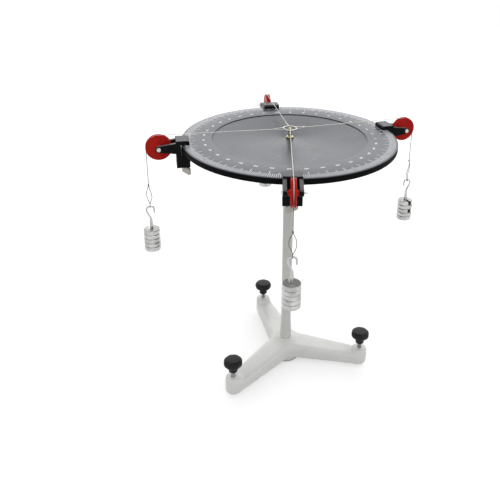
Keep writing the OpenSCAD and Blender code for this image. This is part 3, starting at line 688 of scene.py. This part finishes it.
def broken_edges(node, width):
    """A CAD node's shape with its sharp edges rounded off by a small width."""
    flat_angle, sharp_angle = 0.6, 32
    mesh = closed_copy(node)
    bm = bmesh.new()
    bm.from_mesh(mesh)
    bmesh.ops.dissolve_limit(bm, angle_limit=math.radians(flat_angle), verts=bm.verts, edges=bm.edges)
    bm.to_mesh(mesh)
    bm.free()
    blank = bpy.data.objects.new(node + "_blank", mesh)
    edge = blank.modifiers.new("edge", "BEVEL")
    edge.width = width
    edge.segments = 3
    edge.limit_method = "ANGLE"
    edge.angle_limit = math.radians(sharp_angle)
    mesh.shade_smooth()
    even = blank.modifiers.new("even", "WEIGHTED_NORMAL")
    even.keep_sharp = True
    return made(blank)


def dusted(material, sheen_tone):
    """Paints a pale sheen on the level faces of a dark moulding, as painted reflection."""
    tree = material.node_tree
    at = put(tree, "ShaderNodeTexCoord").outputs
    facing = put(tree, "ShaderNodeSeparateXYZ", {0: at["Normal"]})
    patchy = put(tree, "ShaderNodeTexNoise", {"Vector": at["Object"], "Scale": 140.0, "Detail": 4.0})
    level = put(tree, "ShaderNodeMapRange", {"Value": facing.outputs["Z"], "From Min": 0.55,
                                             "From Max": 0.97})
    uneven = put(tree, "ShaderNodeMapRange", {"Value": patchy.outputs["Fac"], "From Min": 0.25,
                                              "From Max": 0.75, "To Min": 0.7, "To Max": 1.0})
    sheen_share = put(tree, "ShaderNodeMath", {0: level.outputs["Result"], 1: uneven.outputs["Result"]},
               operation="MULTIPLY")
    return toned(material, sheen_share.outputs[0], sheen_tone)


clamp_black = finish("clamp_black", paint(14, 14, 15), paint(25, 25, 26), 0.34, 0.22, grain=700, cloud=45,
                     scratch=110, bump=0.00006, specular=0.045, scuff=0.22)
# Painted sheen: the upward faces of the black clamps are painted pale grey, standing in for their reflection.
dusted(clamp_black, paint(108, 108, 112))
for side in CLAMPS:
    add_piece(f"{side}_clamp_moulding", broken_edges(f"{side}_clamp", 0.0006), clamp_black,
              f"{side}_pulley_clamp", "black_plastic", f"{side}_clamp")


# Each pulley is a red moulded wheel with a round cord groove, a dished web and a hub. It
# turns on a plated screw with a domed head and a pointed end, put through both arms.
PULLEY_R = 0.0235
GROOVE_R = 0.0215


def pulley_profile():
    """Half section of the wheel, as a closed profile round its bore."""
    bore, hub, web, half, hub_half = 0.00206, 0.0045, 0.004, 0.00475, 0.0092
    edge = [(bore, hub_half), (hub - 0.0006, hub_half), (hub + 0.0012, web), (PULLEY_R - 0.0070, web),
            (PULLEY_R - 0.0050, half - 0.0006), (PULLEY_R - 0.0012, half), (PULLEY_R, half - 0.0012),
            (PULLEY_R, half - 0.0020), (GROOVE_R + 0.0007, 0.0012), (GROOVE_R, 0.0005)]
    return edge + [(r, -z) for r, z in reversed(edge)]


def axle_mesh(name, way):
    """The axle screw along Y, with its head on the side that way gives."""
    end, head_r, head_h, body_r = 0.0161, 0.004, 0.0026, 0.002
    dome = [(head_r * math.cos(a), end + head_h * math.sin(a)) for a in np.linspace(0, math.pi / 2, 8)]
    tip = -end - 0.006
    body = [(0, tip), (0.0004, tip), (body_r, -end - 0.002), (body_r, end), (head_r, end)]
    mesh = turned(name, body + dome[1:-1] + [(0, end + head_h)], 40)
    mesh.transform(Matrix.Rotation(math.radians(90 * way), 4, "X"))
    return mesh


HEAD_SIDES = {"right": 1, "back": 1, "left": -1, "front": 1}
red_plastic = finish("red_plastic", paint(176, 32, 25), paint(150, 24, 19), 0.34, 0.18, grain=500, cloud=55,
                     scratch=130, bump=0.00006, specular=0.05, scuff=0.3)
for side in CLAMPS:
    hang_at = clamp_place(side) @ Matrix.Translation((AXLE_X, 0, -AXLE_DROP))
    wheel = turned(f"{side}_pulley_wheel", eased(pulley_profile(), 0.0007, closed=True), 96, closed=True)
    wheel.transform(hang_at @ Matrix.Rotation(math.radians(90), 4, "X"))
    add_piece(wheel.name, wheel, red_plastic, f"{side}_wheel", "red_plastic", f"{side}_pulley")
    axle = axle_mesh(f"{side}_axle_screw", HEAD_SIDES[side])
    axle.transform(hang_at)
    add_piece(axle.name, axle, nickel, f"{side}_pulley_clamp", "nickel", f"{side}_axle")


# A clamp screw comes up through each lower jaw to the disc's underside. Its flat wing is
# pressed from plated sheet and holds the screw in a collar.
SCREW_X = 0.193
SCREW_R = 0.003
SCREW_PITCH = 0.001
SCREW_TOP = -0.0113
WING_TOP = -0.0437
IN_WING = 0.003
wing_plate = finish("wing_plate", paint(170, 167, 158), paint(152, 148, 139), 0.46, 0.32, grain=900, cloud=60,
                    scratch=150, bump=0.00004, metallic=0.35, scuff=0.35)
for side in CLAMPS:
    shank = threaded(f"{side}_clamp_thread", SCREW_R, WING_TOP - IN_WING, SCREW_TOP, SCREW_PITCH, zinc, 20)
    shank.transform(clamp_place(side) @ Matrix.Translation((SCREW_X, 0, 0)))
    add_piece(shank.name, shank, zinc, f"{side}_thumb_screw", "zinc_steel", f"{side}_clamp_screw")
    add_piece(f"{side}_wing_pressing", broken_edges(f"{side}_wing", 0.0007), wing_plate,
              f"{side}_thumb_wing", "nickel", f"{side}_wing")


# Each cord is twisted cotton, white over the disc and painted grey where it hangs, as painted shade. One
# end is tied round the ring in a small eye, and the other hangs over the pulley and is
# tied in a long eye that holds a mass hanger.
CORD_R = 0.0006
CORD_Z = 0.0164
CORD_X = 0.2622
RING_EYE_R = 0.0024
RING_KNOT_X = 0.0271
HOOK_EYE = 0.045
HOOK_EYE_R = 0.0026
DROPS = {"right": 0.0715, "back": 0.074, "left": 0.073, "front": 0.0545}
SWAYS = {"right": 0.0018, "back": -0.0010, "left": 0.0008, "front": -0.0010}
EYE_TURNS = {"right": (90, 90), "back": (90, 90), "left": (0, 90), "front": (90, 0)}
EYE_BULGES = {"right": 0.0002, "back": 0.0015, "left": 0.0028, "front": 0.0044}
CORD_STEP = 0.0008
TWIST = 0.0042


def evenly(points, step):
    """A path's points at even steps along its length, ends included."""
    points = np.array(points, float)
    length = np.r_[0, np.cumsum(np.linalg.norm(np.diff(points, axis=0), axis=1))]
    at = np.linspace(0, length[-1], max(2, int(round(length[-1] / step)) + 1))
    return np.stack([np.interp(at, length, points[:, k]) for k in range(3)], axis=1)


def swept(name, path, sides, radius):
    """A closed tube along a path. radius gives its size at a step, a distance and an angle."""
    path = np.array(path, float)
    ahead = np.gradient(path, axis=0)
    ahead /= np.linalg.norm(ahead, axis=1)[:, None]
    across = np.cross(ahead[0], (0.31, 0.77, 0.55))
    run = np.r_[0, np.cumsum(np.linalg.norm(np.diff(path, axis=0), axis=1))]
    bm = bmesh.new()
    rings = []
    for k, (point, way) in enumerate(zip(path, ahead)):
        across = across - way * across.dot(way)
        across /= np.linalg.norm(across)
        other = np.cross(way, across)
        ring = []
        for j in range(sides):
            a = 2 * math.pi * j / sides
            outwards = across * math.cos(a) + other * math.sin(a)
            ring.append(bm.verts.new(point + radius(k, run[k], a) * outwards))
        rings.append(ring)
    for low, high in zip(rings, rings[1:]):
        for j in range(sides):
            bm.faces.new((low[j], low[(j + 1) % sides], high[(j + 1) % sides], high[j]))
    bm.faces.new(rings[0][::-1])
    bm.faces.new(rings[-1])
    bmesh.ops.recalc_face_normals(bm, faces=bm.faces)
    mesh = bpy.data.meshes.new(name)
    bm.to_mesh(mesh)
    bm.free()
    mesh.shade_smooth()
    return mesh


def strands(k, distance, angle):
    """The three strands of a twisted cord, as a radius round its middle."""
    return CORD_R * (0.84 + 0.16 * abs(math.cos(1.5 * (angle - 2 * math.pi * distance / (1.5 * TWIST)))))


def cord_route(side):
    """The cord's middle in its clamp's frame, from its end at the ring knot to its end at the lower knot."""
    knot_z = -AXLE_DROP - DROPS[side]
    lean = math.asin(RING_EYE_R / (RING_KNOT_X - RING_R))
    tail, tail_off, opening = 0.0028, 0.0009, 0.06
    points = [(RING_KNOT_X + tail, 0.0003, CORD_Z + tail_off)]
    for a in np.linspace(math.pi / 2 - lean, 1.5 * math.pi + lean, 15):
        points.append((RING_R + RING_EYE_R * math.cos(a), 0, CORD_Z + RING_EYE_R * math.sin(a)))
    points += [(RING_KNOT_X, 0, CORD_Z), (AXLE_X, 0, CORD_Z)]
    lay = CORD_X - AXLE_X
    for a in np.linspace(math.pi / 2, 0, 13)[1:]:
        points.append((AXLE_X + lay * math.cos(a), 0, lay * math.sin(a) - AXLE_DROP))
    points.append((CORD_X, 0, knot_z))
    fall = HOOK_EYE - HOOK_EYE_R
    above, below = (math.radians(turn) for turn in EYE_TURNS[side])

    def strand(t, way):
        """A point on one strand of the long eye, from its knot at 0 to the hook at 1."""
        wide = HOOK_EYE_R * math.sin(math.pi * t / 2) + EYE_BULGES[side] * math.sin(math.pi * t ** 0.8) ** 2
        ease = min(1.0, max(0.0, (t - 0.45) / 0.5))
        turn = above + (below - above) * ease * ease * (3 - 2 * ease)
        sway = SWAYS[side] * math.sin(2 * math.pi * t)
        return (CORD_X + sway + way * wide * math.cos(turn), way * wide * math.sin(turn), knot_z - fall * t)

    points += [strand(t, 1) for t in np.linspace(opening, 1, 24)]
    for a in np.linspace(0, math.pi, 11)[1:-1]:
        out = HOOK_EYE_R * math.cos(a)
        points.append((CORD_X + out * math.cos(below), out * math.sin(below),
                       knot_z - fall - HOOK_EYE_R * math.sin(a)))
    points += [strand(t, -1) for t in np.linspace(1, opening, 24)]
    points.append((CORD_X + 0.0004, -tail_off, knot_z + tail))
    return evenly(points, CORD_STEP)


def knot_mesh(name, middle, along):
    """A knot: three wraps of the same cord round the standing part."""
    along = np.array(along, float)
    first = np.cross(along, (0, 1, 0))
    second = np.cross(along, first)
    wraps, wrap_r, lead = 3.2, 1.45 * CORD_R, 1.9
    path = []
    for a in np.linspace(0, 2 * math.pi * wraps, 70):
        step = along * (a / (2 * math.pi) - wraps / 2) * lead * CORD_R
        path.append(np.array(middle) + step + wrap_r * (first * math.cos(a) + second * math.sin(a)))
    return swept(name, path, 8, lambda k, distance, angle: CORD_R * 0.95)


cotton = finish("white_cotton", paint(244, 243, 237), paint(226, 224, 215), 0.9, 0.8, grain=2600, cloud=200,
                bump=0.0001, specular=0.25, scuff=0.0)
# Painted shade: the cord turns grey below the disc, where it hangs.
toned_below(cotton, paint(104, 103, 99), DISC_TOP + 0.010, DISC_TOP - 0.012)
for side in CLAMPS:
    turn = clamp_place(side)
    route = cord_route(side)
    cord_mesh = swept(f"{side}_twisted_cord", route, 12, strands)
    cord_mesh.transform(turn)
    knots = joined(
        f"{side}_cord_knots",
        knot_mesh("ring_knot", (RING_KNOT_X, 0, CORD_Z), (1, 0, 0)),
        knot_mesh("hook_knot", (CORD_X, 0, -AXLE_DROP - DROPS[side]), (0, 0, -1)))
    knots.transform(turn)
    knots.shade_smooth()
    knot_piece = add_piece(knots.name, knots, cotton, f"{side}_pulley_clamp", "white_cord")
    cord_piece = add_piece(cord_mesh.name, cord_mesh, cotton, f"{side}_pulley_clamp", "white_cord",
                           f"{side}_cord")


# A mass hanger hangs in each cord's eye by its hook of bent plated wire. The wire runs out
# into a shank that is fixed in a round foot.
HOOK_HALF = 0.007
HOOK_TURNS = {"right": 0, "back": 0, "left": 0, "front": -90}
HANGER_H = 0.088
MASS_H = 0.0083
MASS_R = 0.015


def hook_place(side):
    """The middle of the hook's wire, where it hangs in the eye."""
    low = -AXLE_DROP - DROPS[side] - HOOK_EYE + HOOK_EYE_R
    turn = Matrix.Rotation(math.radians(HOOK_TURNS[side]), 4, "Z")
    return clamp_place(side) @ Matrix.Translation((CORD_X, 0, low)) @ turn


def hanger_mesh(name):
    """Hook, shank and foot of a hanger."""
    wire, shank, lip, neck, swell_from, swell_over = 0.0015, 0.003, 0.0135, 0.019, 0.018, 0.016
    points = [(-HOOK_HALF, 0, -lip)]
    for a in np.linspace(math.pi, 0, 25):
        x, z = math.cos(a), math.sin(a)
        points.append((HOOK_HALF * math.copysign(abs(x) ** 0.8, x), 0, HOOK_HALF * (abs(z) ** 0.8 - 1)))
    for t in np.linspace(0, 1, 17)[1:]:
        ease = t * t * (3 - 2 * t)
        points.append((HOOK_HALF * (1 - ease), 0, -HOOK_HALF - neck * t))
    points.append((0, 0, -HANGER_H + MASS_H - 0.0005))
    path = evenly(points, CORD_STEP)

    def size(k, distance, angle):
        """The wire's radius, which grows into the shank and is rounded off at the hook's tip."""
        drop = -path[k][2]
        on_shank = path[k][0] > -0.0002 and drop > swell_from
        grow = min(1.0, max(0.0, (drop - swell_from) / swell_over)) if on_shank else 0.0
        tip = min(1.0, 0.55 + distance / 0.0016) if distance < 0.0012 else 1.0
        return (wire + (shank - wire) * grow * grow * (3 - 2 * grow)) * tip

    hook = swept("hook", path, 16, size)
    foot = turned("foot", eased([(0, 0), (MASS_R, 0), (MASS_R, MASS_H), (0, MASS_H)], 0.0012), 64)
    foot.transform(Matrix.Translation((0, 0, -HANGER_H)))
    return joined(name, hook, foot)


MASS_LINES = {"pitch": 0.0006, "bump": 0.00001}
mass_plate = lathe_lines("mass_plate", paint(198, 198, 197), paint(158, 158, 156), 0.30, 0.16, **MASS_LINES)
for side in CLAMPS:
    hanger = hanger_mesh(f"{side}_hook_and_foot")
    hanger.transform(hook_place(side))
    add_piece(hanger.name, hanger, mass_plate, f"{side}_mass_hanger", "nickel", f"{side}_hanger")


# Four slotted masses lie on each foot, their slots turned to and fro so that none slips
# off. They are turned from steel bar, slotted and plated, and their faced ends are dull and painted a little
# darker, as painted shade.
# Painted shade: the faced ends are a little darker than the sides, besides being duller.
faced_plate_painted_shade = lathe_lines("faced_plate_painted_shade", paint(190, 190, 189), paint(160, 160, 158), 0.62, 0.50, **MASS_LINES)
for side in CLAMPS:
    masses = add_piece(f"{side}_slotted_masses", broken_edges(f"{side}_masses", 0.0004), mass_plate,
                       f"{side}_mass_stack", "nickel", f"{side}_masses")
    masses.data.materials.append(faced_plate_painted_shade)
    for part in masses.data.polygons:
        part.material_index = 1 if abs(part.normal.z) > 0.9 else 0


# The studio: a pale floor, white all round, a large soft panel behind and above the object,
# which the level faces mirror, a weak key lamp and two weak fills.
AMBIENT = 0.80
FLOOR_HALF = 30.0
FLOOR_GREY = 0.60
FLOOR_GLOW = 0.53


def seen_directly(tree):
    """1 for rays that show the background: from the camera, off gloss and through glass."""
    path = put(tree, "ShaderNodeLightPath").outputs
    both = put(tree, "ShaderNodeMath", {0: path["Is Camera Ray"], 1: path["Is Glossy Ray"]},
               operation="MAXIMUM")
    return put(tree, "ShaderNodeMath", {0: both.outputs[0], 1: path["Is Transmission Ray"]},
               operation="MAXIMUM").outputs[0]


world = bpy.data.worlds.new("studio")
world.use_nodes = True
sky = world.node_tree
sky.nodes.clear()
light_sky = put(sky, "ShaderNodeBackground", {"Color": (1, 1, 1, 1), "Strength": AMBIENT})
shown_sky = put(sky, "ShaderNodeBackground", {"Color": (1, 1, 1, 1), "Strength": 1.0})
both_skies = put(sky, "ShaderNodeMixShader", {0: seen_directly(sky), 1: light_sky.outputs[0],
                                              2: shown_sky.outputs[0]})
put(sky, "ShaderNodeOutputWorld", {"Surface": both_skies.outputs[0]})
bpy.context.scene.world = world

floor_white = bpy.data.materials.new("floor_white")
floor_white.use_nodes = True
ground = floor_white.node_tree
ground.nodes.clear()
plain = put(ground, "ShaderNodeBsdfDiffuse", {"Color": (FLOOR_GREY, FLOOR_GREY, FLOOR_GREY, 1)})
glow = put(ground, "ShaderNodeEmission", {"Color": (1, 1, 1, 1), "Strength": FLOOR_GLOW})
lifted = put(ground, "ShaderNodeAddShader", {0: plain.outputs[0], 1: glow.outputs[0]})
floor_mix = put(ground, "ShaderNodeMixShader", {0: seen_directly(ground), 1: plain.outputs[0],
                                                2: lifted.outputs[0]})
put(ground, "ShaderNodeOutputMaterial", {"Surface": floor_mix.outputs[0]})
floor_mesh = bpy.data.meshes.new("studio_floor")
corners = [(x * FLOOR_HALF, y * FLOOR_HALF, 0) for x, y in ((-1, -1), (1, -1), (1, 1), (-1, 1))]
floor_mesh.from_pydata(corners, [], [(0, 1, 2, 3)])
floor_mesh.materials.append(floor_white)
studio_floor = bpy.data.objects.new("studio_floor", floor_mesh)
bpy.context.scene.collection.objects.link(studio_floor)


def soft_lamp(name, place, aim, width, height, power):
    """A soft box at a place, turned towards a point."""
    lamp = bpy.data.lights.new(name, "AREA")
    lamp.shape = "RECTANGLE"
    lamp.size = width
    lamp.size_y = height
    lamp.energy = power
    holder = bpy.data.objects.new(name, lamp)
    holder.location = place
    holder.rotation_euler = (Vector(aim) - Vector(place)).to_track_quat("-Z", "Y").to_euler()
    holder.visible_camera = False
    bpy.context.scene.collection.objects.link(holder)


soft_lamp("back_panel", (0.3, 4.0, 2.3), (0, 0, 0.5), 5.0, 3.4, 66)
soft_lamp("key_lamp", (0.6, -0.6, 2.3), (0, 0, 0.3), 1.6, 1.6, 5)
soft_lamp("left_fill", (-1.9, -1.6, 1.1), (0, 0, 0.3), 1.4, 1.4, 3)
soft_lamp("right_fill", (2.2, -1.2, 1.0), (0, 0, 0.3), 1.4, 1.4, 3)

CAMERA_PLACE = (-0.00074, -1.05011, 0.85963)
CAMERA_PITCH = -21.722
CAMERA_YAW = -0.124
CAMERA_ROLL = 1.266
CAMERA_LENS = 42.80
CAMERA_SHIFT = (-0.08, -0.17)
camera_data = bpy.data.cameras.new("camera")
camera_data.sensor_fit = "HORIZONTAL"
camera_data.sensor_width = 36.0
camera_data.lens = CAMERA_LENS
camera_data.shift_x, camera_data.shift_y = CAMERA_SHIFT
camera_data.clip_end = 100.0
camera = bpy.data.objects.new("camera", camera_data)
camera.matrix_world = (
    Matrix.Translation(CAMERA_PLACE)
    @ Matrix.Rotation(math.radians(CAMERA_YAW), 4, "Z")
    @ Matrix.Rotation(math.radians(90 + CAMERA_PITCH), 4, "X")
    @ Matrix.Rotation(math.radians(CAMERA_ROLL), 4, "Z"))
bpy.context.scene.collection.objects.link(camera)
bpy.context.scene.camera = camera
bpy.context.scene.view_settings.view_transform = "Standard"
